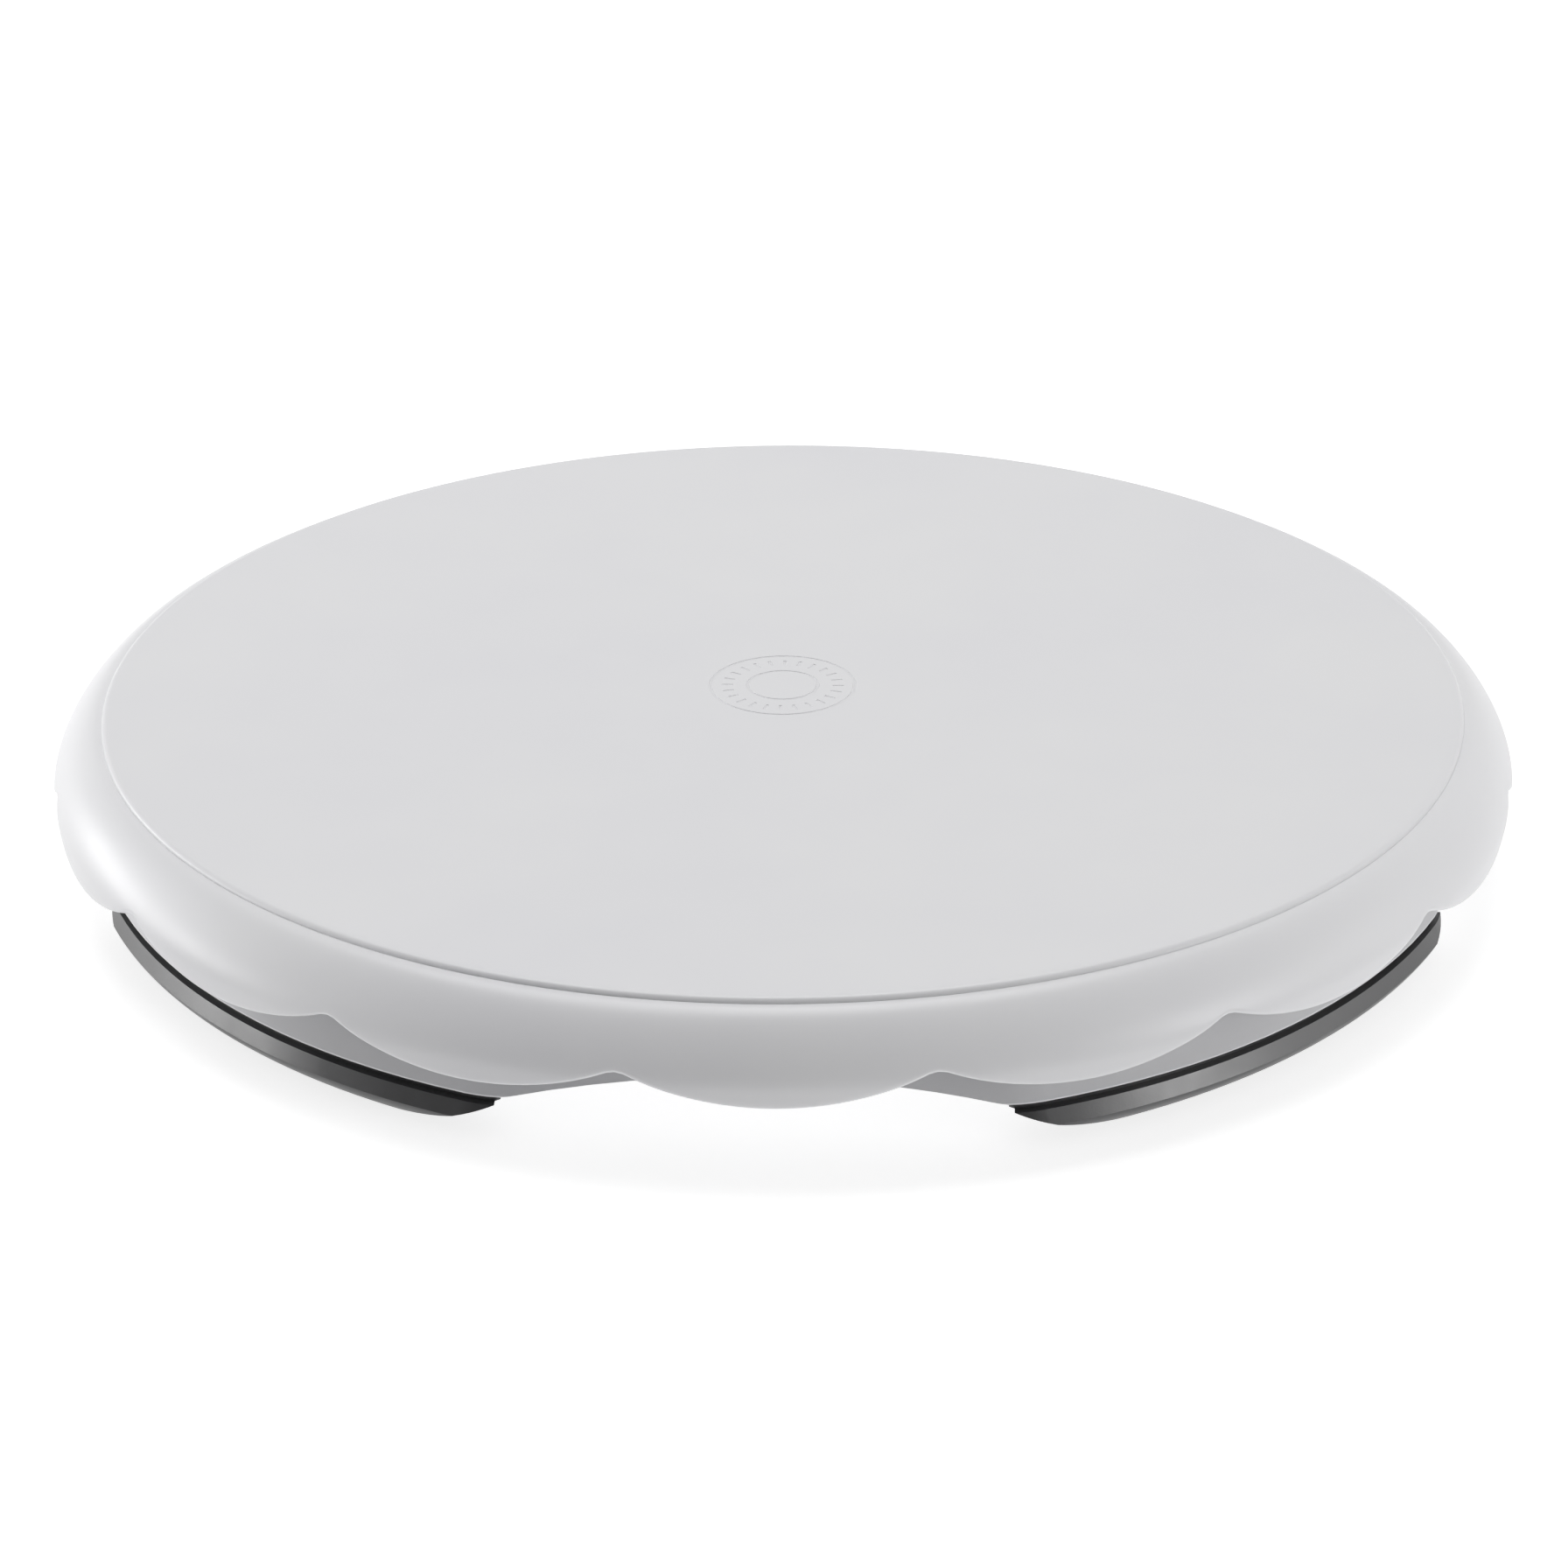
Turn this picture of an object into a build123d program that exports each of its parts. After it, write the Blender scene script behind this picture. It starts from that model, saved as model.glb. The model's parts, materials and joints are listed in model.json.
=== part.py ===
from build123d import *
from math import radians, sin
import os

# A cake-decorating lazy susan: a scalloped plate that turns on a caged ball race over a
# four-footed base. Millimetres, +Z up, origin on the table under the turning axis,
# -Y is the front. The base is square to the axes, with its feet on the diagonals.

os.makedirs("parts", exist_ok=True)

# ---------------------------------------------------------------- driving dimensions

overall_height = 37.0          # table to the flat top of the plate
disc_radius = 152.4            # flat working surface, 12 in across
plate_radius = 165.05          # outside of the skirt, 13 in across
plate_wall = 2.2
plate_rest_turn = 1.9          # how far the plate stands turned from the base at rest

lobe_count = 16                # scallops round the hem
notch_height = 24.85           # table to the notch between two scallops, before rounding
lobe_depth = 6.7               # notch to the lowest point of a scallop
notch_round = 6.0

deck_height = 26.5             # top of the base deck
base_wall = 2.5
rim_radius = 155.4             # widest edge of the base's sloping side
rim_flat = 145.7               # from the axis to the four flats between the feet
rim_corner = 25.0              # where the round runs into a flat
lip_height = 9.5               # underside of that edge, where the grips start

foot_count = 4
arch_half_width = 51.4         # half the gap between two feet at the grips' top corners
arch_half_width_floor = 80.0   # half the gap between two feet on the table
arch_end_radius = 118.0        # curve of the grips' ends from the table up to the arch
arch_height = 13.4             # top of the arch above the table

race_radius = 101.6            # centre line of the ball track
ball_radius = 3.175            # quarter-inch steel balls
ball_count = 12
ball_height = 30.2             # centre of the balls above the table
rolling_gap = 0.1              # between a ball and its tracks or pocket

hub_radius = 9.0               # pivot on the plate
running_gap = 0.05             # radial clearance of the pivot in its bush
bush_outer_radius = 11.0
fitted_gap = 0.1               # between pieces that are fixed to each other
overlap = 1.0                  # how far joined features run into each other


# ---------------------------------------------------------------- planes and helpers

def section_plane(angle):
    """Upright plane through the turning axis: local x is radius, local y is height."""
    outward = Vector(1, 0, 0).rotate(Axis.Z, angle)
    sideways = Vector(0, -1, 0).rotate(Axis.Z, angle)
    return Plane(origin=(0, 0, 0), x_dir=outward, z_dir=sideways)


def facing_plane(angle, distance=0.0):
    """Upright plane that faces outward at this angle: local x is sideways, local y is height."""
    outward = Vector(1, 0, 0).rotate(Axis.Z, angle)
    sideways = Vector(0, 1, 0).rotate(Axis.Z, angle)
    return Plane(origin=outward * distance, x_dir=sideways, z_dir=outward)


def save(piece, name):
    """Label a finished piece and write its STEP file."""
    piece.part.label = name
    export_step(piece.part, f"parts/{name}.step")


# ---------------------------------------------------------------- top plate

disc_step = 1.2                # height of the raised disc over the shoulder
disc_edge_round = 1.2
crease_radius = disc_radius + 1.8
crease_height = overall_height - disc_step
shoulder_foot = 22.0           # height where the shoulder turns into the upright skirt
shoulder_pull = 0.36           # how far the shoulder's curve is pulled to its corner
disc_underside = overall_height - 2.4
race_offset = 2.2              # from the balls' centres up or down to the flat of a track

hem_low = notch_height - lobe_depth
skirt_bottom = hem_low - 1.4    # before the scallops are trimmed
lobe_half_width = plate_radius * sin(radians(180 / lobe_count))
lobe_radius = (lobe_half_width ** 2 + lobe_depth ** 2) / (2 * lobe_depth)
lobe_overlap = 4.0             # how far each scallop's outline runs past its notch


def shoulder(start, end):
    """Soft quarter curve, level at the start and upright at the end."""
    across = end[0] - start[0]
    down = start[1] - end[1]
    first_pull = (start[0] + shoulder_pull * across, start[1])
    last_pull = (end[0], end[1] + shoulder_pull * down)
    return Bezier(start, first_pull, last_pull, end)


# What is trimmed away below the scallops: a ring with sixteen rounded lobes taken out of it.
trim_top = notch_height + 4.0
trim_reach = 8.0

with BuildPart() as hem_trim:
    with BuildSketch(Plane.XY.offset(skirt_bottom - overlap)):
        Circle(plate_radius + trim_reach)
        Circle(plate_radius - trim_reach, mode=Mode.SUBTRACT)
    extrude(amount=trim_top - skirt_bottom + overlap)
    for lobe in range(lobe_count):
        lobe_angle = -90 + plate_rest_turn + lobe * 360 / lobe_count
        with BuildSketch(facing_plane(lobe_angle, plate_radius - 2 * trim_reach)):
            with Locations((0, hem_low + lobe_radius)):
                Circle(lobe_radius)
            with Locations((0, hem_low)):
                Rectangle(
                    2 * (lobe_half_width + lobe_overlap),
                    2 * (trim_top - hem_low + overlap),
                    mode=Mode.INTERSECT,
                )
        extrude(amount=4 * trim_reach, mode=Mode.SUBTRACT)
    notch_edges = hem_trim.edges().filter_by_position(
        Axis.Z, notch_height - overlap, notch_height + overlap
    )
    fillet(notch_edges, radius=notch_round)

race_half_width = 4.5
upper_race_bottom = ball_height + race_offset
hub_bottom = 11.7
hub_shoulder_radius = 12.0      # stands just clear of the bush's flange
hub_shoulder_height = 31.3
screw_radius = 2.0
screw_bore_top = 26.0
rib_count = 16
rib_bottom = 32.0
rib_width = 1.6
rib_reach = disc_radius - 3.0
rib_slope = 6.0                # how far a rib's end slopes in below the disc
rib_ring_radii = (52.0, 132.0)
underside_radius = disc_radius - 2.0
inner_crease_radius = crease_radius - 1.2
mark_radius = 16.8             # centring mark moulded into the middle of the disc
mark_depth = 0.25
mark_line = 0.8
inner_mark_radius = 0.5 * mark_radius
tick_radius = 0.75 * mark_radius
tick_count = 24
tick_length = 2.6

with BuildPart() as top_plate:
    with BuildSketch(Plane.XZ):
        with BuildLine():
            Line((0, overall_height), (disc_radius, overall_height))
            CenterArc((disc_radius, crease_height), disc_edge_round, 0, 90)
            Line((disc_radius + disc_edge_round, crease_height), (crease_radius, crease_height))
            shoulder((crease_radius, crease_height), (plate_radius, shoulder_foot))
            Line((plate_radius, shoulder_foot), (plate_radius, skirt_bottom))
            Line((plate_radius, skirt_bottom), (plate_radius - plate_wall, skirt_bottom))
            Line(
                (plate_radius - plate_wall, skirt_bottom),
                (plate_radius - plate_wall, shoulder_foot),
            )
            shoulder(
                (inner_crease_radius, crease_height - plate_wall),
                (plate_radius - plate_wall, shoulder_foot),
            )
            Line(
                (inner_crease_radius, crease_height - plate_wall),
                (underside_radius, disc_underside),
            )
            Line((underside_radius, disc_underside), (0, disc_underside))
            Line((0, disc_underside), (0, overall_height))
        make_face()
    revolve(axis=Axis.Z)
    add(hem_trim.part, mode=Mode.SUBTRACT)

    # stiffening ribs and rings under the disc
    for rib in range(rib_count):
        with BuildSketch(section_plane(rib * 360 / rib_count)):
            with BuildLine():
                Polyline(
                    (hub_radius, disc_underside + overlap),
                    (rib_reach, disc_underside + overlap),
                    (rib_reach, disc_underside),
                    (rib_reach - rib_slope, rib_bottom),
                    (hub_radius, rib_bottom),
                    close=True,
                )
            make_face()
        extrude(amount=rib_width / 2, both=True)
    with BuildSketch(Plane.XY.offset(rib_bottom)):
        for ring_radius in rib_ring_radii:
            Circle(ring_radius + rib_width / 2)
            Circle(ring_radius - rib_width / 2, mode=Mode.SUBTRACT)
    extrude(amount=disc_underside - rib_bottom + overlap)

    # upper ball track, with a round-bottomed groove the balls run in
    with BuildSketch(Plane.XY.offset(upper_race_bottom)):
        Circle(race_radius + race_half_width)
        Circle(race_radius - race_half_width, mode=Mode.SUBTRACT)
    extrude(amount=disc_underside - upper_race_bottom + overlap)
    with BuildSketch(Plane.XZ):
        with Locations((race_radius, ball_height)):
            Circle(ball_radius + rolling_gap)
    revolve(axis=Axis.Z, mode=Mode.SUBTRACT)

    # pivot hub, its shoulder and the blind bore for the screw
    with BuildSketch(Plane.XY.offset(hub_shoulder_height)):
        Circle(hub_shoulder_radius)
    extrude(amount=disc_underside - hub_shoulder_height + overlap)
    with BuildSketch(Plane.XY.offset(hub_bottom)):
        Circle(hub_radius)
    extrude(amount=disc_underside - hub_bottom + overlap)
    with BuildSketch(Plane.XY.offset(hub_bottom)):
        Circle(screw_radius)
    extrude(amount=screw_bore_top - hub_bottom, mode=Mode.SUBTRACT)

    # centring mark: two fine rings and a circle of ticks, sunk into the disc
    with BuildSketch(Plane.XY.offset(overall_height)):
        for ring_radius in (mark_radius, inner_mark_radius):
            Circle(ring_radius)
            Circle(ring_radius - mark_line, mode=Mode.SUBTRACT)
        with PolarLocations(tick_radius, tick_count):
            Rectangle(tick_length, mark_line)
    extrude(amount=-mark_depth, mode=Mode.SUBTRACT)

save(top_plate, "top_plate")

# ---------------------------------------------------------------- base body

lower_race_top = ball_height - race_offset
collar_top = 30.0
collar_radius = 14.5
socket_radius = 17.0
socket_bottom = 3.0
cap_bore_radius = 14.0
bush_bottom = 12.0
deck_underside = deck_height - base_wall
side_taper = 42.0              # how far the sloping side leans in from upright, in degrees
deck_edge_round = 5.0
lip_thickness = 0.3
foot_wall_inset = 4.6          # from the base's edge in to the foot walls inside the grips
foot_wall_bottom = 2.5
hollow_shoulder = 15.0         # height where the hollow starts to narrow under the slope
base_rib_bottom = 18.0
base_rib_count = 8
base_rib_width = 2.0
base_rib_reach = 147.0
base_rib_slope = 9.0            # how far a rib's end slopes in below the deck
grip_end_upright = 1.2         # short upright at the top of a grip's end
grip_end_wall = 2.4            # rubber left between a foot's wall and the open arch
arch_reach_inner = 128.0
arch_reach = 40.0


def rim_outline(inset):
    """Plan of the base, moved in by an inset: round, with a flat between each two feet."""
    with BuildSketch() as outline:
        Circle(rim_radius)
        Rectangle(2 * rim_flat, 2 * rim_flat, mode=Mode.INTERSECT)
        fillet(outline.vertices(), radius=rim_corner)
        if inset > 0:
            offset(amount=-inset, mode=Mode.REPLACE)
    return outline.sketch


# Front view of the gap between two feet: the grips' ends curve up from the table to a short
# upright, and the edge of the base arches over.
end_top = lip_height - grip_end_upright
below_table = -2.0

with BuildSketch() as arch_opening:
    with BuildLine():
        for side in (1, -1):
            Line((side * arch_half_width_floor, below_table), (side * arch_half_width_floor, 0))
            RadiusArc(
                (side * arch_half_width_floor, 0),
                (side * arch_half_width, end_top),
                side * arch_end_radius,
            )
            Line((side * arch_half_width, end_top), (side * arch_half_width, lip_height))
        ThreePointArc(
            (-arch_half_width, lip_height), (0, arch_height), (arch_half_width, lip_height)
        )
        Line((-arch_half_width_floor, below_table), (arch_half_width_floor, below_table))
    make_face()


def foot_end_opening(margin):
    """The arch's outline moved back by a margin, up to the underside of the base's lip."""
    with BuildSketch() as opening:
        add(arch_opening.sketch)
        offset(amount=margin)
        with Locations((0, lip_height)):
            Rectangle(
                3 * arch_half_width_floor,
                2 * lip_height,
                align=(Align.CENTER, Align.MAX),
                mode=Mode.INTERSECT,
            )
    return opening.sketch


def through_every_arch(opening):
    """A front-view outline pushed through the rim at each of the four arches."""
    with BuildPart() as cut:
        for arch in range(foot_count):
            with BuildSketch(facing_plane(-90 + arch * 360 / foot_count, arch_reach_inner)):
                add(opening)
            extrude(amount=arch_reach)
    return cut.part


arch_cut = through_every_arch(arch_opening.sketch)
# The walls inside the grips stop short of the arches, so rubber closes their ends.
foot_end_cut = through_every_arch(foot_end_opening(grip_end_wall))
slot_end_cut = through_every_arch(foot_end_opening(grip_end_wall - fitted_gap))

with BuildPart() as base_body:
    # outside: foot walls, the lip over the grips and the slope up to the deck
    with BuildSketch(Plane.XY.offset(foot_wall_bottom)):
        add(rim_outline(foot_wall_inset))
    extrude(amount=lip_height + lip_thickness - foot_wall_bottom)
    with BuildSketch(Plane.XY.offset(lip_height)):
        add(rim_outline(0))
    extrude(amount=lip_thickness)
    with BuildSketch(Plane.XY.offset(lip_height + lip_thickness)):
        add(rim_outline(0))
    extrude(amount=deck_height - lip_height - lip_thickness, taper=side_taper)
    deck_edges = base_body.faces().sort_by(Axis.Z)[-1].edges()
    fillet(deck_edges, radius=deck_edge_round)

    # the hollow underneath
    with BuildSketch(Plane.XY.offset(foot_wall_bottom)):
        add(rim_outline(foot_wall_inset + base_wall))
    extrude(amount=hollow_shoulder - foot_wall_bottom, mode=Mode.SUBTRACT)
    with BuildSketch(Plane.XY.offset(hollow_shoulder)):
        add(rim_outline(foot_wall_inset + base_wall))
    extrude(amount=deck_underside - hollow_shoulder, taper=side_taper, mode=Mode.SUBTRACT)

    # lower ball track, and the collar and socket that hold the pivot's bush and cap
    with BuildSketch(Plane.XY.offset(deck_underside + overlap)):
        Circle(race_radius + race_half_width)
        Circle(race_radius - race_half_width, mode=Mode.SUBTRACT)
    extrude(amount=lower_race_top - deck_underside - overlap)
    with BuildSketch(Plane.XY.offset(deck_underside + overlap)):
        Circle(collar_radius)
    extrude(amount=collar_top - deck_underside - overlap)
    with BuildSketch(Plane.XY.offset(socket_bottom)):
        Circle(socket_radius)
    extrude(amount=deck_underside + overlap - socket_bottom)

    # lower ball track groove
    with BuildSketch(Plane.XZ):
        with Locations((race_radius, ball_height)):
            Circle(ball_radius + rolling_gap)
    revolve(axis=Axis.Z, mode=Mode.SUBTRACT)

    # ribs under the deck, from the pivot socket out into the feet
    for rib in range(base_rib_count):
        with BuildSketch(section_plane((rib + 0.5) * 360 / base_rib_count)):
            with BuildLine():
                Polyline(
                    (socket_radius - overlap, deck_underside + overlap),
                    (base_rib_reach - base_rib_slope, deck_underside + overlap),
                    (base_rib_reach, base_rib_bottom),
                    (socket_radius - overlap, base_rib_bottom),
                    close=True,
                )
            make_face()
        extrude(amount=base_rib_width / 2, both=True)
    with BuildSketch(Plane.XY.offset(base_rib_bottom)):
        Circle(race_radius + base_rib_width / 2)
        Circle(race_radius - base_rib_width / 2, mode=Mode.SUBTRACT)
    extrude(amount=deck_underside - base_rib_bottom + overlap)

    # bores for the bush and, below it, the washer and cap
    with BuildSketch(Plane.XY.offset(bush_bottom)):
        Circle(bush_outer_radius)
    extrude(amount=collar_top - bush_bottom, mode=Mode.SUBTRACT)
    with BuildSketch(Plane.XY.offset(socket_bottom)):
        Circle(cap_bore_radius)
    extrude(amount=bush_bottom - socket_bottom, mode=Mode.SUBTRACT)

    add(arch_cut, mode=Mode.SUBTRACT)
    add(foot_end_cut, mode=Mode.SUBTRACT)

save(base_body, "base_body")

# ---------------------------------------------------------------- rubber grips

# Distances out from the base's edge, and heights above the table.
neck_out = -1.5                # shadow line between the base's lip and the grip's bulge
bulge_out = 0.3
bulge_top = 7.8
crease_out = 1.7
crease_line_height = 4.5
tread_outer = -3.2
tread_inner = -7.2
tread_lift = 0.6               # the tread's inner border stands this clear of the table
channel_inner = -foot_wall_inset - base_wall - 2.6
channel_top = 6.5
grip_run_past = 20.0           # how far each grip's run goes along a flat before it is trimmed
grip_names = ("grip_front_right", "grip_back_right", "grip_back_left", "grip_front_left")

# The slot each grip is pushed on by: the foot's wall with a little room all round.
with BuildPart() as foot_wall_slot:
    with BuildSketch(Plane.XY.offset(foot_wall_bottom - fitted_gap)):
        add(rim_outline(foot_wall_inset - fitted_gap))
        add(rim_outline(foot_wall_inset + base_wall + fitted_gap), mode=Mode.SUBTRACT)
    extrude(amount=lip_height)
    add(slot_end_cut, mode=Mode.SUBTRACT)

# Along the base's edge, from the front flat round the front right foot to the right flat.
corner_across = (rim_radius ** 2 - rim_flat ** 2) ** 0.5
grip_start = corner_across - grip_run_past
diagonal = rim_radius * 0.5 ** 0.5
with BuildLine() as grip_run:
    Line((grip_start, -rim_flat), (corner_across, -rim_flat))
    ThreePointArc(
        (corner_across, -rim_flat), (diagonal, -diagonal), (rim_flat, -corner_across)
    )
    Line((rim_flat, -corner_across), (rim_flat, -grip_start))
    run_corners = grip_run.vertices().filter_by_position(
        Axis.X, corner_across - fitted_gap, corner_across + fitted_gap
    ) + grip_run.vertices().filter_by_position(
        Axis.Y, -corner_across - fitted_gap, -corner_across + fitted_gap
    )
    fillet(run_corners, radius=rim_corner)

with BuildPart() as front_right_grip:
    grip_section = Plane(
        origin=(grip_start, -rim_flat, 0), x_dir=(0, -1, 0), z_dir=(-1, 0, 0)
    )
    with BuildSketch(grip_section):
        with BuildLine():
            Polyline(
                (tread_outer, 0),
                (tread_inner, 0),
                (channel_inner, tread_lift),
                (channel_inner, channel_top),
                (-foot_wall_inset - base_wall, channel_top),
                (-foot_wall_inset - base_wall, lip_height - fitted_gap),
                (neck_out, lip_height - fitted_gap),
                (neck_out, bulge_top),
                (bulge_out, bulge_top),
                (crease_out, crease_line_height),
            )
            Bezier(
                (crease_out, crease_line_height),
                (0.7 * crease_out, 0.66 * crease_line_height),
                (0.3 * tread_outer, 0.16 * crease_line_height),
                (tread_outer, 0),
            )
        make_face()
    sweep(path=grip_run.line)
    add(foot_wall_slot.part, mode=Mode.SUBTRACT)
    add(arch_cut, mode=Mode.SUBTRACT)

for grip_number, grip_name in enumerate(grip_names):
    with BuildPart() as grip:
        add(front_right_grip.part, rotation=(0, 0, grip_number * 360 / foot_count))
    save(grip, grip_name)

# ---------------------------------------------------------------- ball cage and balls

cage_inner_radius = 94.5
cage_outer_radius = 108.7
cage_web = 1.6
cage_rim = 1.6
cage_glide_gap = 0.3           # between the cage's rims and the deck

with BuildPart() as ball_cage:
    with BuildSketch(Plane.XY.offset(ball_height - cage_web / 2)):
        Circle(cage_outer_radius)
        Circle(cage_inner_radius, mode=Mode.SUBTRACT)
    extrude(amount=cage_web)
    with BuildSketch(Plane.XY.offset(deck_height + cage_glide_gap)):
        Circle(cage_outer_radius)
        Circle(cage_outer_radius - cage_rim, mode=Mode.SUBTRACT)
        Circle(cage_inner_radius + cage_rim)
        Circle(cage_inner_radius, mode=Mode.SUBTRACT)
    extrude(amount=ball_height - deck_height - cage_glide_gap)
    with BuildSketch(Plane.XY.offset(ball_height - cage_web)):
        with PolarLocations(race_radius, ball_count):
            Circle(ball_radius + rolling_gap)
    extrude(amount=2 * cage_web, mode=Mode.SUBTRACT)

save(ball_cage, "ball_cage")

for ball_number in range(ball_count):
    ball_angle = ball_number * 360 / ball_count
    ball_centre = section_plane(ball_angle).from_local_coords((race_radius, ball_height, 0))
    with BuildPart() as ball:
        with Locations(ball_centre):
            Sphere(ball_radius)
    save(ball, f"ball_{ball_number + 1:02d}")

# ---------------------------------------------------------------- pivot

bush_flange_radius = 13.2
bush_flange_top = collar_top + 1.0
bush_fit = 0.02

with BuildPart() as pivot_bush:
    with BuildSketch(Plane.XY.offset(bush_bottom)):
        Circle(bush_outer_radius - bush_fit)
    extrude(amount=collar_top - bush_bottom)
    with BuildSketch(Plane.XY.offset(collar_top)):
        Circle(bush_flange_radius)
    extrude(amount=bush_flange_top - collar_top)
    with BuildSketch(Plane.XY.offset(bush_bottom)):
        Circle(hub_radius + running_gap)
    extrude(amount=bush_flange_top - bush_bottom, mode=Mode.SUBTRACT)

save(pivot_bush, "pivot_bush")

washer_radius = 12.0
washer_thickness = 1.2
screw_clearance = 0.2
screw_head_radius = 4.2
screw_head_height = 2.4
screw_length = 14.0
screw_fit = 0.02
recess_length = 4.6
recess_width = 0.9
recess_depth = 1.3
head_round = 1.2
washer_bottom = hub_bottom - washer_thickness
head_bottom = washer_bottom - screw_head_height

with BuildPart() as retaining_washer:
    with BuildSketch(Plane.XY.offset(washer_bottom)):
        Circle(washer_radius)
        Circle(screw_radius + screw_clearance, mode=Mode.SUBTRACT)
    extrude(amount=washer_thickness)

save(retaining_washer, "retaining_washer")

with BuildPart() as pivot_screw:
    with BuildSketch(Plane.XY.offset(head_bottom)):
        Circle(screw_head_radius)
    extrude(amount=screw_head_height)
    fillet(pivot_screw.edges().filter_by(GeomType.CIRCLE).sort_by(Axis.Z)[0], radius=head_round)
    with BuildSketch(Plane.XY.offset(washer_bottom)):
        Circle(screw_radius - screw_fit)
    extrude(amount=screw_length)
    with BuildSketch(Plane.XY.offset(head_bottom)):
        Rectangle(recess_length, recess_width)
        Rectangle(recess_width, recess_length)
    extrude(amount=recess_depth, mode=Mode.SUBTRACT)

save(pivot_screw, "pivot_screw")

cap_face_thickness = 1.6
cap_rim_top = 7.5
cap_rim_wall = 1.6
cap_fit = 0.05
cap_round = 0.8

with BuildPart() as pivot_cap:
    with BuildSketch(Plane.XY.offset(socket_bottom)):
        Circle(cap_bore_radius - cap_fit)
    extrude(amount=cap_rim_top - socket_bottom)
    with BuildSketch(Plane.XY.offset(socket_bottom + cap_face_thickness)):
        Circle(cap_bore_radius - cap_fit - cap_rim_wall)
    extrude(amount=cap_rim_top, mode=Mode.SUBTRACT)
    fillet(pivot_cap.edges().filter_by(GeomType.CIRCLE).sort_by(Axis.Z)[0], radius=cap_round)

save(pivot_cap, "pivot_cap")
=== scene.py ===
import json
import math
import bpy
import numpy as np
from mathutils import Matrix, Vector


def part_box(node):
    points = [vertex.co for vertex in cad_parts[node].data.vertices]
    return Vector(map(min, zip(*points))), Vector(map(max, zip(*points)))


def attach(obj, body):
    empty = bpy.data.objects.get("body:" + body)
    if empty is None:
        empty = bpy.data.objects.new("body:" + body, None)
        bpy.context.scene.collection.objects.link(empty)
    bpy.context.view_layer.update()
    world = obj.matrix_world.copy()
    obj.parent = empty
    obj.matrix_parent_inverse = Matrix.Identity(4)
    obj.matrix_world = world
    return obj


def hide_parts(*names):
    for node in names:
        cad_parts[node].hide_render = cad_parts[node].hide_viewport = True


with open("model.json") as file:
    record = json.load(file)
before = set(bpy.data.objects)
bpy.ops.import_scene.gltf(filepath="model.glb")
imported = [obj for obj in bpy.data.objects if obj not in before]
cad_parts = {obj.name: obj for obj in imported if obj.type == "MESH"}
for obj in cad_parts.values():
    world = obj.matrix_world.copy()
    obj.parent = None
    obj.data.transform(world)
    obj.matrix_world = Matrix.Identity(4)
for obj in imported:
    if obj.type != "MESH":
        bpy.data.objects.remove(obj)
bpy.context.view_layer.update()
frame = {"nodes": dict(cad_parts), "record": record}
record = frame["record"]
nodes = frame["nodes"]
scene = bpy.context.scene

# ---------------------------------------------------------------- sizes, in metres

MM = 0.001
plate_low, plate_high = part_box("top_plate")
disc_top = plate_high.z
plate_radius = plate_high.x
hub_bottom = plate_low.z

DISC_RADIUS = 152.4 * MM
DISC_STEP = 1.2 * MM
DISC_THICKNESS = 2.4 * MM
EDGE_ROUND = 1.2 * MM
CREASE_RADIUS = 154.2 * MM
SHOULDER_FOOT = 22.0 * MM
SHOULDER_PULL = 0.36
WALL_END = 5.5 * MM                     # lower than any part of the hem
WALL = 2.2 * MM
INNER_STEP = 1.2 * MM                   # how far inside the crease the inner wall starts
LOBES = 16                              # scallops of the hem, and ribs under the disc
LOBE_DEPTH = 6.7 * MM
LOBE_BOTTOM = 18.15 * MM
NOTCH_ROUND = 6.0 * MM
PLATE_TURN = math.radians(1.9)
LIP_ROUND = 0.9 * MM
HUB_TIP = 26.0 * MM                     # height of the screw hole's end, inside the hub
HUB_RADIUS = 9.0 * MM
HUB_BEVEL = 0.3 * MM
HUB_SHOULDER = (12.0 * MM, 31.3 * MM)   # radius and height
SCREW_HOLE_RADIUS = 2.0 * MM
UNDERSIDE_RADIUS = 150.4 * MM
RIB_BOTTOM = 32.0 * MM
RIB_HALF_WIDTH = 0.8 * MM
RIB_BEVEL = 0.25 * MM
RIB_OVERLAP = 0.4 * MM                  # how far a rib reaches into the disc
RING_RADII = (52.0 * MM, 132.0 * MM)    # middles of the two round ribs
TRACK_RADII = (97.1 * MM, 106.1 * MM)
TRACK_BOTTOM = 32.4 * MM
GROOVE_RADIUS = 3.275 * MM
GROOVE_CENTRE = (101.6 * MM, 30.2 * MM)
RIB_SPANS_MM = ((11.9, 51.3), (52.7, 97.2), (106.0, 131.3), (132.7, 146.0))

COLUMNS = 576                           # round the plate, a multiple of 16 lobes and 24 ticks
DISC_ROWS_MM = (20, 28, 40, 60, 80, 100, 120, 138, 148, 151.6)
MIDDLE_ROWS_MM = (0.6, 2.0, 5.0)
EDGE_ROWS = 8
CURVE_POINTS = 60
OUTER_ROWS = 30
INNER_ROWS = 18
LIP_ROWS = 6
GROOVE_ROWS = 9
HEM_PASSES = 3                          # the hem's radius and height depend on each other
SHARP_ANGLE = math.radians(34.0)
MARK_RINGS = (8.4 * MM, 16.8 * MM)
MARK_LINE = 0.8 * MM
MARK_DEPTH = 0.14 * MM
MARK_WALL = 0.1 * MM
TICKS = 24
TICK_INNER = 11.3 * MM
TICK_OUTER = 13.9 * MM
TICK_HALF_COLUMNS = 2


# ---------------------------------------------------------------- materials

SMEAR_SCALE = 4.0                       # smears are this many times finer than the clouding
SAG_HEIGHT = 0.05 * MM                  # unevenness of a moulded face


def new_material(name):
    material = bpy.data.materials.new(name)
    material.use_nodes = True
    return material, material.node_tree.nodes, material.node_tree.links


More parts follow.
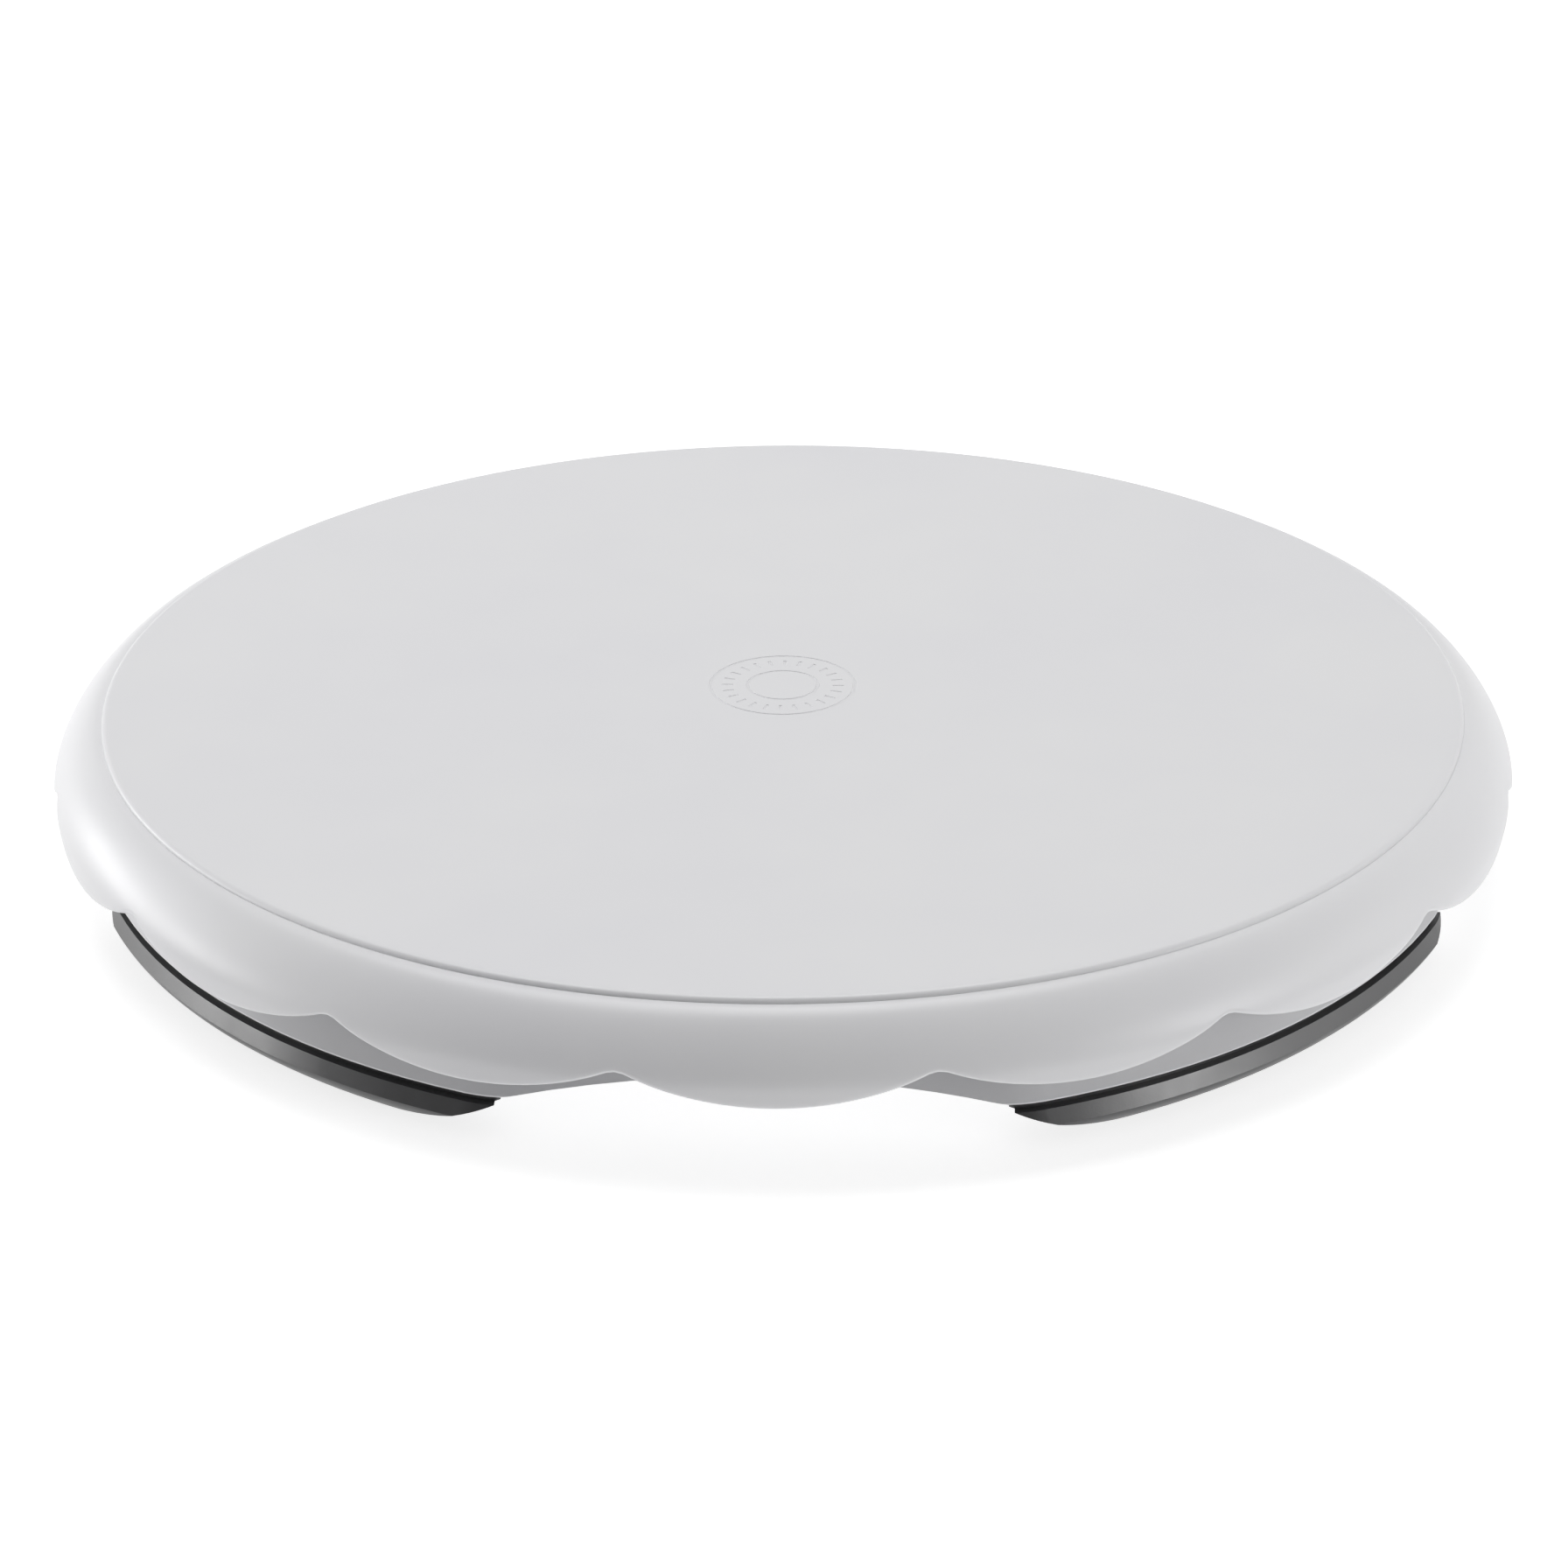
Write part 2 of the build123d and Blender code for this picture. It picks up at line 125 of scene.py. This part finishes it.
def noise(tree_nodes, links, coordinates, scale, detail, stretch=None):
    """A noise pattern in object space, with its scale given per metre."""
    texture = tree_nodes.new("ShaderNodeTexNoise")
    texture.inputs["Scale"].default_value = scale
    texture.inputs["Detail"].default_value = detail
    if stretch is None:
        links.new(coordinates, texture.inputs["Vector"])
    else:
        mapping = tree_nodes.new("ShaderNodeMapping")
        mapping.inputs["Scale"].default_value = stretch
        links.new(coordinates, mapping.inputs["Vector"])
        links.new(mapping.outputs["Vector"], texture.inputs["Vector"])
    return texture.outputs["Fac"]


def remap(tree_nodes, links, value, low, high, start=0.3, end=0.7):
    """Stretch the middle of a pattern to run from low to high."""
    node = tree_nodes.new("ShaderNodeMapRange")
    node.inputs["From Min"].default_value = start
    node.inputs["From Max"].default_value = end
    node.inputs["To Min"].default_value = low
    node.inputs["To Max"].default_value = high
    links.new(value, node.inputs["Value"])
    return node.outputs["Result"]


def blend(tree_nodes, links, factor, colour_a, colour_b):
    node = tree_nodes.new("ShaderNodeMix")
    node.data_type = "RGBA"
    links.new(factor, node.inputs["Factor"])
    node.inputs["A"].default_value = (*colour_a, 1.0)
    node.inputs["B"].default_value = (*colour_b, 1.0)
    return node.outputs["Result"]


def bump(tree_nodes, links, height, distance, after=None):
    node = tree_nodes.new("ShaderNodeBump")
    node.inputs["Distance"].default_value = distance
    links.new(height, node.inputs["Height"])
    if after is not None:
        links.new(after, node.inputs["Normal"])
    return node.outputs["Normal"]


def moulded(name, colour_a, colour_b, rough_low, rough_high, grain, grain_height, ior=1.46,
            metallic=0.0, cloud=14.0, stretch=None):
    """A moulded or machined surface: faint clouding, uneven gloss and a fine grain.

    cloud and grain are scales per metre of the clouding and of the grain.
    """
    material, tree_nodes, links = new_material(name)
    shader = tree_nodes["Principled BSDF"]
    coordinates = tree_nodes.new("ShaderNodeTexCoord").outputs["Object"]
    clouds = remap(tree_nodes, links, noise(tree_nodes, links, coordinates, cloud, 3.0), 0.0, 1.0)
    links.new(blend(tree_nodes, links, clouds, colour_a, colour_b), shader.inputs["Base Color"])
    smears = noise(tree_nodes, links, coordinates, SMEAR_SCALE * cloud, 4.0, stretch)
    links.new(
        remap(tree_nodes, links, smears, rough_low, rough_high), shader.inputs["Roughness"]
    )
    sag = bump(
        tree_nodes, links, noise(tree_nodes, links, coordinates, cloud, 1.0), SAG_HEIGHT
    )
    fine = noise(tree_nodes, links, coordinates, grain, 2.0, stretch)
    links.new(
        bump(tree_nodes, links, fine, grain_height, after=sag), shader.inputs["Normal"]
    )
    shader.inputs["IOR"].default_value = ior
    shader.inputs["Metallic"].default_value = metallic
    return material


MATERIALS = {
    "plate_white": moulded(
        "plate_white", (0.715, 0.715, 0.735), (0.735, 0.735, 0.745), 0.32, 0.38, 900.0,
        0.004 * MM,
    ),
    "base_white": moulded(
        "base_white", (0.70, 0.70, 0.715), (0.73, 0.73, 0.74), 0.30, 0.38, 1100.0,
        0.008 * MM,
    ),
    "grip_rubber": moulded(
        "grip_rubber", (0.034, 0.034, 0.036), (0.046, 0.046, 0.048), 0.28, 0.36, 2200.0,
        0.012 * MM, ior=1.8, cloud=30.0,
    ),
    "cage_plastic": moulded(
        "cage_plastic", (0.66, 0.64, 0.57), (0.72, 0.70, 0.63), 0.40, 0.52, 1400.0,
        0.02 * MM,
    ),
    "bush_plastic": moulded(
        "bush_plastic", (0.78, 0.77, 0.72), (0.83, 0.82, 0.78), 0.32, 0.42, 1500.0,
        0.01 * MM,
    ),
    "ball_steel": moulded(
        "ball_steel", (0.70, 0.70, 0.71), (0.78, 0.78, 0.79), 0.05, 0.12, 1800.0,
        0.002 * MM, metallic=1.0, cloud=120.0,
    ),
    "fastener_steel": moulded(
        "fastener_steel", (0.56, 0.56, 0.57), (0.68, 0.68, 0.66), 0.24, 0.38, 1800.0,
        0.012 * MM, metallic=1.0, cloud=90.0, stretch=(1.0, 1.0, 0.08),
    ),
}

slot_of = {part["node"]: part["material_slot"] for part in record["subparts"]}
for node_name, node_object in nodes.items():
    for index in range(len(node_object.data.materials)):
        node_object.data.materials[index] = MATERIALS[slot_of[node_name]]


# ---------------------------------------------------------------- the plate

def new_piece(name, body, slot_name, vertices, faces):
    """A mesh piece that rides on a body."""
    mesh = bpy.data.meshes.new(name)
    mesh.from_pydata([tuple(v) for v in vertices], [], faces)
    mesh.update()
    mesh.polygons.foreach_set("use_smooth", [True] * len(mesh.polygons))
    mesh.set_sharp_from_angle(angle=SHARP_ANGLE)
    mesh.materials.append(MATERIALS[slot_name])
    piece = bpy.data.objects.new(name, mesh)
    scene.collection.objects.link(piece)
    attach(piece, body)
    return piece


def curve_points(start, end, pull, count):
    """Points along a soft quarter curve, level at its start and upright at its end."""
    first_pull = (start[0] + pull * (end[0] - start[0]), start[1])
    last_pull = (end[0], end[1] + pull * (start[1] - end[1]))
    corners = np.array([start, first_pull, last_pull, end])
    t = np.linspace(0.0, 1.0, count)[:, None]
    weights = np.hstack([(1 - t) ** 3, 3 * t * (1 - t) ** 2, 3 * t * t * (1 - t), t ** 3])
    return weights @ corners


column_angle = np.arange(COLUMNS) * 2 * math.pi / COLUMNS
lobe_pitch = 2 * math.pi / LOBES
lobe_phase = -math.pi / 2 + PLATE_TURN
from_lobe = (column_angle - lobe_phase + lobe_pitch / 2) % lobe_pitch - lobe_pitch / 2
lobe_half_width = plate_radius * math.sin(lobe_pitch / 2)
lobe_radius = (lobe_half_width ** 2 + LOBE_DEPTH ** 2) / (2 * LOBE_DEPTH)


def hem_height(radius):
    """Height of the scalloped hem in each column, for a wall at this radius in each column."""
    across = np.abs(radius * np.sin(from_lobe))
    centre = LOBE_BOTTOM + lobe_radius
    lobe = centre - np.sqrt(np.maximum(lobe_radius ** 2 - across ** 2, 0.0))
    notch_centre = centre - math.sqrt((lobe_radius + NOTCH_ROUND) ** 2 - lobe_half_width ** 2)
    from_notch = lobe_half_width - across
    notch = notch_centre + np.sqrt(np.maximum(NOTCH_ROUND ** 2 - from_notch ** 2, 0.0))
    meets = lobe_half_width * NOTCH_ROUND / (lobe_radius + NOTCH_ROUND)
    return np.where(from_notch < meets, notch, lobe)


def wall(start, foot_radius):
    """One side of the skirt: points from the disc outwards and down, and the way along them."""
    curved = curve_points(start, (foot_radius, SHOULDER_FOOT), SHOULDER_PULL, CURVE_POINTS)
    straight = np.array([(foot_radius, WALL_END)])
    points = np.vstack([curved, straight])
    along = np.concatenate([[0.0], np.cumsum(np.linalg.norm(np.diff(points, axis=0), axis=1))])
    return points, along


def radius_at(points, height):
    return np.interp(-height, -points[:, 1], points[:, 0])


def wall_rows(points, along, stop_height, count):
    """Rows from the start of a wall to a height that differs from column to column."""
    stop = np.interp(-stop_height, -points[:, 1], along)
    rows = []
    for share in np.linspace(0.0, 1.0, count):
        rows.append((
            np.interp(share * stop, along, points[:, 0]),
            np.interp(share * stop, along, points[:, 1]),
        ))
    return rows


def mark_rows():
    """Rows of the disc's middle, with two fine rings and a circle of ticks sunk into it."""
    tick_pitch = COLUMNS // TICKS
    from_tick = (np.arange(COLUMNS) + tick_pitch // 2) % tick_pitch - tick_pitch // 2
    on_tick = np.abs(from_tick) <= TICK_HALF_COLUMNS
    everywhere = np.ones(COLUMNS, bool)
    rows = []
    bands = [
        (MARK_RINGS[0] - MARK_LINE, MARK_RINGS[0], everywhere),
        (TICK_INNER, TICK_OUTER, on_tick),
        (MARK_RINGS[1] - MARK_LINE, MARK_RINGS[1], everywhere),
    ]
    for radius in MIDDLE_ROWS_MM:
        rows.append((radius * MM, disc_top))
    for inner, outer, sunk in bands:
        floor_height = np.where(sunk, disc_top - MARK_DEPTH, disc_top)
        rows.append((inner - MARK_WALL / 2, disc_top))
        rows.append((inner + MARK_WALL / 2, floor_height))
        rows.append((outer - MARK_WALL / 2, floor_height))
        rows.append((outer + MARK_WALL / 2, disc_top))
    return rows


def ring_rows(radius, under):
    """Rows along one round rib, from its outer foot to its inner foot."""
    outer, inner = radius + RIB_HALF_WIDTH, radius - RIB_HALF_WIDTH
    return [(outer, under), (outer, RIB_BOTTOM), (inner, RIB_BOTTOM), (inner, under)]


def underside_rows():
    """Rows from the disc's rim in to the pivot, along the underside."""
    under = disc_top - DISC_THICKNESS
    track_inner, track_outer = TRACK_RADII
    rows = [(UNDERSIDE_RADIUS, under)]
    rows += ring_rows(RING_RADII[1], under)
    rows += [(track_outer, under), (track_outer, TRACK_BOTTOM)]
    reach = math.acos((TRACK_BOTTOM - GROOVE_CENTRE[1]) / GROOVE_RADIUS)
    for angle in np.linspace(reach, -reach, GROOVE_ROWS):
        rows.append((
            GROOVE_CENTRE[0] + GROOVE_RADIUS * math.sin(angle),
            GROOVE_CENTRE[1] + GROOVE_RADIUS * math.cos(angle),
        ))
    rows += [(track_inner, TRACK_BOTTOM), (track_inner, under)]
    rows += ring_rows(RING_RADII[0], under)
    rows += [(HUB_SHOULDER[0], under), HUB_SHOULDER, (HUB_RADIUS, HUB_SHOULDER[1])]
    rows += [(HUB_RADIUS, hub_bottom + HUB_BEVEL), (HUB_RADIUS - HUB_BEVEL, hub_bottom)]
    rows += [(SCREW_HOLE_RADIUS, hub_bottom), (SCREW_HOLE_RADIUS, HUB_TIP)]
    return rows


def plate_rows():
    """All rows of the plate's skin, from the middle of the top to the middle of the hub."""
    rows = mark_rows()
    for radius in DISC_ROWS_MM:
        rows.append((radius * MM, disc_top))
    crease = disc_top - DISC_STEP
    for angle in np.linspace(math.pi / 2, 0.0, EDGE_ROWS):
        rows.append((
            DISC_RADIUS + EDGE_ROUND * math.cos(angle), crease + EDGE_ROUND * math.sin(angle)
        ))

    outer, outer_along = wall((CREASE_RADIUS, crease), plate_radius)
    inner, inner_along = wall(
        (CREASE_RADIUS - INNER_STEP, crease - WALL), plate_radius - WALL
    )
    hem = hem_height(np.full(COLUMNS, plate_radius))
    for _ in range(HEM_PASSES):
        hem = hem_height(radius_at(outer, hem))
    rows += wall_rows(outer, outer_along, hem + LIP_ROUND, OUTER_ROWS)
    lip_outer = radius_at(outer, hem + LIP_ROUND)
    lip_inner = radius_at(inner, hem + LIP_ROUND)
    quarter = np.linspace(0.0, math.pi / 2, LIP_ROWS)
    for angle in quarter[1:]:
        rows.append((
            lip_outer - LIP_ROUND * (1 - math.cos(angle)),
            hem + LIP_ROUND * (1 - math.sin(angle)),
        ))
    for angle in quarter[::-1][:-1]:
        rows.append((
            lip_inner + LIP_ROUND * (1 - math.cos(angle)),
            hem + LIP_ROUND * (1 - math.sin(angle)),
        ))
    rows += wall_rows(inner, inner_along, hem + LIP_ROUND, INNER_ROWS)[::-1]
    return rows + underside_rows()


def revolved(rows, first_height, last_height):
    """A closed skin through the rows, with a point on the axis at each end."""
    cosine, sine = np.cos(column_angle), np.sin(column_angle)
    vertices = [(0.0, 0.0, first_height)]
    for radius, height in rows:
        radius = np.broadcast_to(radius, COLUMNS)
        height = np.broadcast_to(height, COLUMNS)
        vertices += zip(radius * cosine, radius * sine, height)
    vertices.append((0.0, 0.0, last_height))
    faces = []
    last = len(vertices) - 1
    for column in range(COLUMNS):
        after = (column + 1) % COLUMNS
        faces.append((0, 1 + column, 1 + after))
        for row in range(len(rows) - 1):
            near, far = 1 + row * COLUMNS, 1 + (row + 1) * COLUMNS
            faces.append((near + column, far + column, far + after, near + after))
        end = 1 + (len(rows) - 1) * COLUMNS
        faces.append((end + column, last, end + after))
    return vertices, faces


def rib_box(angle, inner, outer, high):
    """One straight stiffening rib, with its lower edges taken off."""
    half, low, edge = RIB_HALF_WIDTH, RIB_BOTTOM, RIB_BEVEL
    outline = [
        (-half, high), (-half, low + edge), (-half + edge, low),
        (half - edge, low), (half, low + edge), (half, high),
    ]
    cosine, sine = math.cos(angle), math.sin(angle)
    vertices = []
    for radius in (inner, outer):
        for side, height in outline:
            vertices.append((
                radius * cosine - side * sine, radius * sine + side * cosine, height
            ))
    count = len(outline)
    faces = [tuple(range(count)), tuple(range(2 * count - 1, count - 1, -1))]
    for corner in range(count):
        after = (corner + 1) % count
        faces.append((corner, corner + count, after + count, after))
    return vertices, faces


def make_plate():
    vertices, faces = revolved(plate_rows(), disc_top, HUB_TIP)
    rib_top = disc_top - DISC_THICKNESS + RIB_OVERLAP
    for rib in range(LOBES):
        for inner, outer in RIB_SPANS_MM:
            more_vertices, more_faces = rib_box(
                rib * lobe_pitch, inner * MM, outer * MM, rib_top
            )
            first = len(vertices)
            vertices += more_vertices
            faces += [tuple(first + corner for corner in face) for face in more_faces]
    piece = new_piece("plate_shell", "plate", "plate_white", vertices, faces)
    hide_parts("top_plate")


make_plate()


# ---------------------------------------------------------------- camera, lights and floor

CAMERA_AZIMUTH = math.radians(2.5)      # turned from the front towards +X
CAMERA_ELEVATION = math.radians(23.78)
CAMERA_DISTANCE = 1.0668                # from the middle of the disc's top
AIM_YAW = math.radians(0.011)
AIM_PITCH = math.radians(1.206)         # the camera aims a little below the disc
CAMERA_ROLL = math.radians(-0.368)
LENS = 107.78                           # millimetres, as is the sensor's width
SENSOR_WIDTH = 36.0

ROOM_SEEN = 1.0                         # the surroundings, as the camera sees them
ROOM_FRONT = 0.04                       # and how brightly they light the object
ROOM_BACK = 0.6
ROOM_BLEND = 0.8                        # from -0.8 to 0.8 of the way back, it changes evenly
FLOOR_HALF_SIZE = 6.0
FLOOR_GLOW = 0.58
FLOOR_GLOW_SEEN = 0.76
SOFTBOXES = (                           # name, place, aim, size, radiance
    ("top", (-0.15, 0.35, 1.7), (0, 0, 0), (1.4, 1.1), 4.0),
    ("left", (-1.35, 0.32, 0.45), (0, 0, 0.02), (0.9, 0.6), 1.2),
    ("left_strip", (-1.3, 0.22, 0.15), (0, 0, 0.03), (1.1, 0.24), 6.8),
    ("right", (1.25, -0.62, 0.26), (0, 0, 0.02), (0.4, 0.4), 5.0),
    ("right_wall", (1.45, -0.35, 0.33), (0, 0, 0.02), (1.7, 0.6), 1.45),
)


def make_camera():
    azimuth_turn = Matrix.Rotation(CAMERA_AZIMUTH, 3, "Z")
    place = CAMERA_DISTANCE * Vector((
        0, -math.cos(CAMERA_ELEVATION), math.sin(CAMERA_ELEVATION)
    ))
    down = CAMERA_ELEVATION + AIM_PITCH
    forward = Vector((
        math.sin(AIM_YAW) * math.cos(down),
        math.cos(AIM_YAW) * math.cos(down),
        -math.sin(down),
    ))
    right = forward.cross(Vector((0, 0, 1))).normalized()
    up = right.cross(forward)
    rolled_right = right * math.cos(CAMERA_ROLL) + up * math.sin(CAMERA_ROLL)
    rolled_up = up * math.cos(CAMERA_ROLL) - right * math.sin(CAMERA_ROLL)
    turn = azimuth_turn @ Matrix((rolled_right, rolled_up, -forward)).transposed()
    data = bpy.data.cameras.new("camera")
    data.lens = LENS
    data.sensor_width = SENSOR_WIDTH
    data.clip_end = 20.0
    camera = bpy.data.objects.new("camera", data)
    camera.matrix_world = (
        Matrix.Translation(azimuth_turn @ place + Vector((0, 0, disc_top))) @ turn.to_4x4()
    )
    scene.collection.objects.link(camera)
    scene.camera = camera


def softbox(name, place, aim, size, radiance):
    """A rectangular soft light, given by how bright its face is."""
    data = bpy.data.lights.new(name, "AREA")
    data.shape = "RECTANGLE"
    data.size, data.size_y = size
    data.energy = radiance * math.pi * size[0] * size[1]
    light = bpy.data.objects.new(name, data)
    light.location = place
    light.rotation_euler = (Vector(aim) - Vector(place)).to_track_quat("-Z", "Y").to_euler()
    light.visible_camera = False
    scene.collection.objects.link(light)


def make_world():
    """Plain surroundings that look white, and light the object more from behind."""
    world = bpy.data.worlds.new("studio")
    scene.world = world
    world.use_nodes = True
    tree_nodes, links = world.node_tree.nodes, world.node_tree.links
    background = tree_nodes["Background"]
    background.inputs["Color"].default_value = (1.0, 1.0, 1.0, 1.0)
    direction = tree_nodes.new("ShaderNodeSeparateXYZ")
    generated = tree_nodes.new("ShaderNodeTexCoord").outputs["Generated"]
    links.new(generated, direction.inputs["Vector"])
    room = remap(
        tree_nodes, links, direction.outputs["Y"], ROOM_FRONT, ROOM_BACK,
        -ROOM_BLEND, ROOM_BLEND,
    )
    level = tree_nodes.new("ShaderNodeMix")
    level.inputs["B"].default_value = ROOM_SEEN
    links.new(room, level.inputs["A"])
    by_camera = tree_nodes.new("ShaderNodeLightPath").outputs["Is Camera Ray"]
    links.new(by_camera, level.inputs["Factor"])
    links.new(level.outputs["Result"], background.inputs["Strength"])


def make_floor():
    """A plain pale floor, left out of the exported model."""
    material, tree_nodes, links = new_material("floor")
    shader = tree_nodes["Principled BSDF"]
    coordinates = tree_nodes.new("ShaderNodeTexCoord").outputs["Object"]
    clouds = remap(tree_nodes, links, noise(tree_nodes, links, coordinates, 1.5, 2.0), 0.0, 1.0)
    links.new(
        blend(tree_nodes, links, clouds, (0.50, 0.50, 0.50), (0.52, 0.52, 0.52)),
        shader.inputs["Base Color"],
    )
    shader.inputs["Roughness"].default_value = 0.9
    shader.inputs["Specular IOR Level"].default_value = 0.0
    shader.inputs["Emission Color"].default_value = (1.0, 1.0, 1.0, 1.0)
    # the camera sees the floor nearly white, as in the photograph; the object is lit by less
    seen = tree_nodes.new("ShaderNodeLightPath").outputs["Is Camera Ray"]
    links.new(
        remap(tree_nodes, links, seen, FLOOR_GLOW, FLOOR_GLOW_SEEN, 0.0, 1.0),
        shader.inputs["Emission Strength"],
    )
    # seen from below the floor is clear, so that it doesn't hide the underside
    side = tree_nodes.new("ShaderNodeNewGeometry").outputs["Backfacing"]
    mix = tree_nodes.new("ShaderNodeMixShader")
    links.new(side, mix.inputs["Fac"])
    links.new(shader.outputs["BSDF"], mix.inputs[1])
    links.new(tree_nodes.new("ShaderNodeBsdfTransparent").outputs["BSDF"], mix.inputs[2])
    links.new(mix.outputs["Shader"], tree_nodes["Material Output"].inputs["Surface"])
    size = FLOOR_HALF_SIZE
    mesh = bpy.data.meshes.new("floor")
    mesh.from_pydata(
        [(-size, -size, 0), (size, -size, 0), (size, size, 0), (-size, size, 0)],
        [], [(0, 1, 2, 3)],
    )
    mesh.materials.append(material)
    floor = bpy.data.objects.new("floor", mesh)
    scene.collection.objects.link(floor)


make_camera()
make_world()
for softbox_facts in SOFTBOXES:
    softbox(*softbox_facts)
make_floor()
scene.view_settings.view_transform = "Standard"
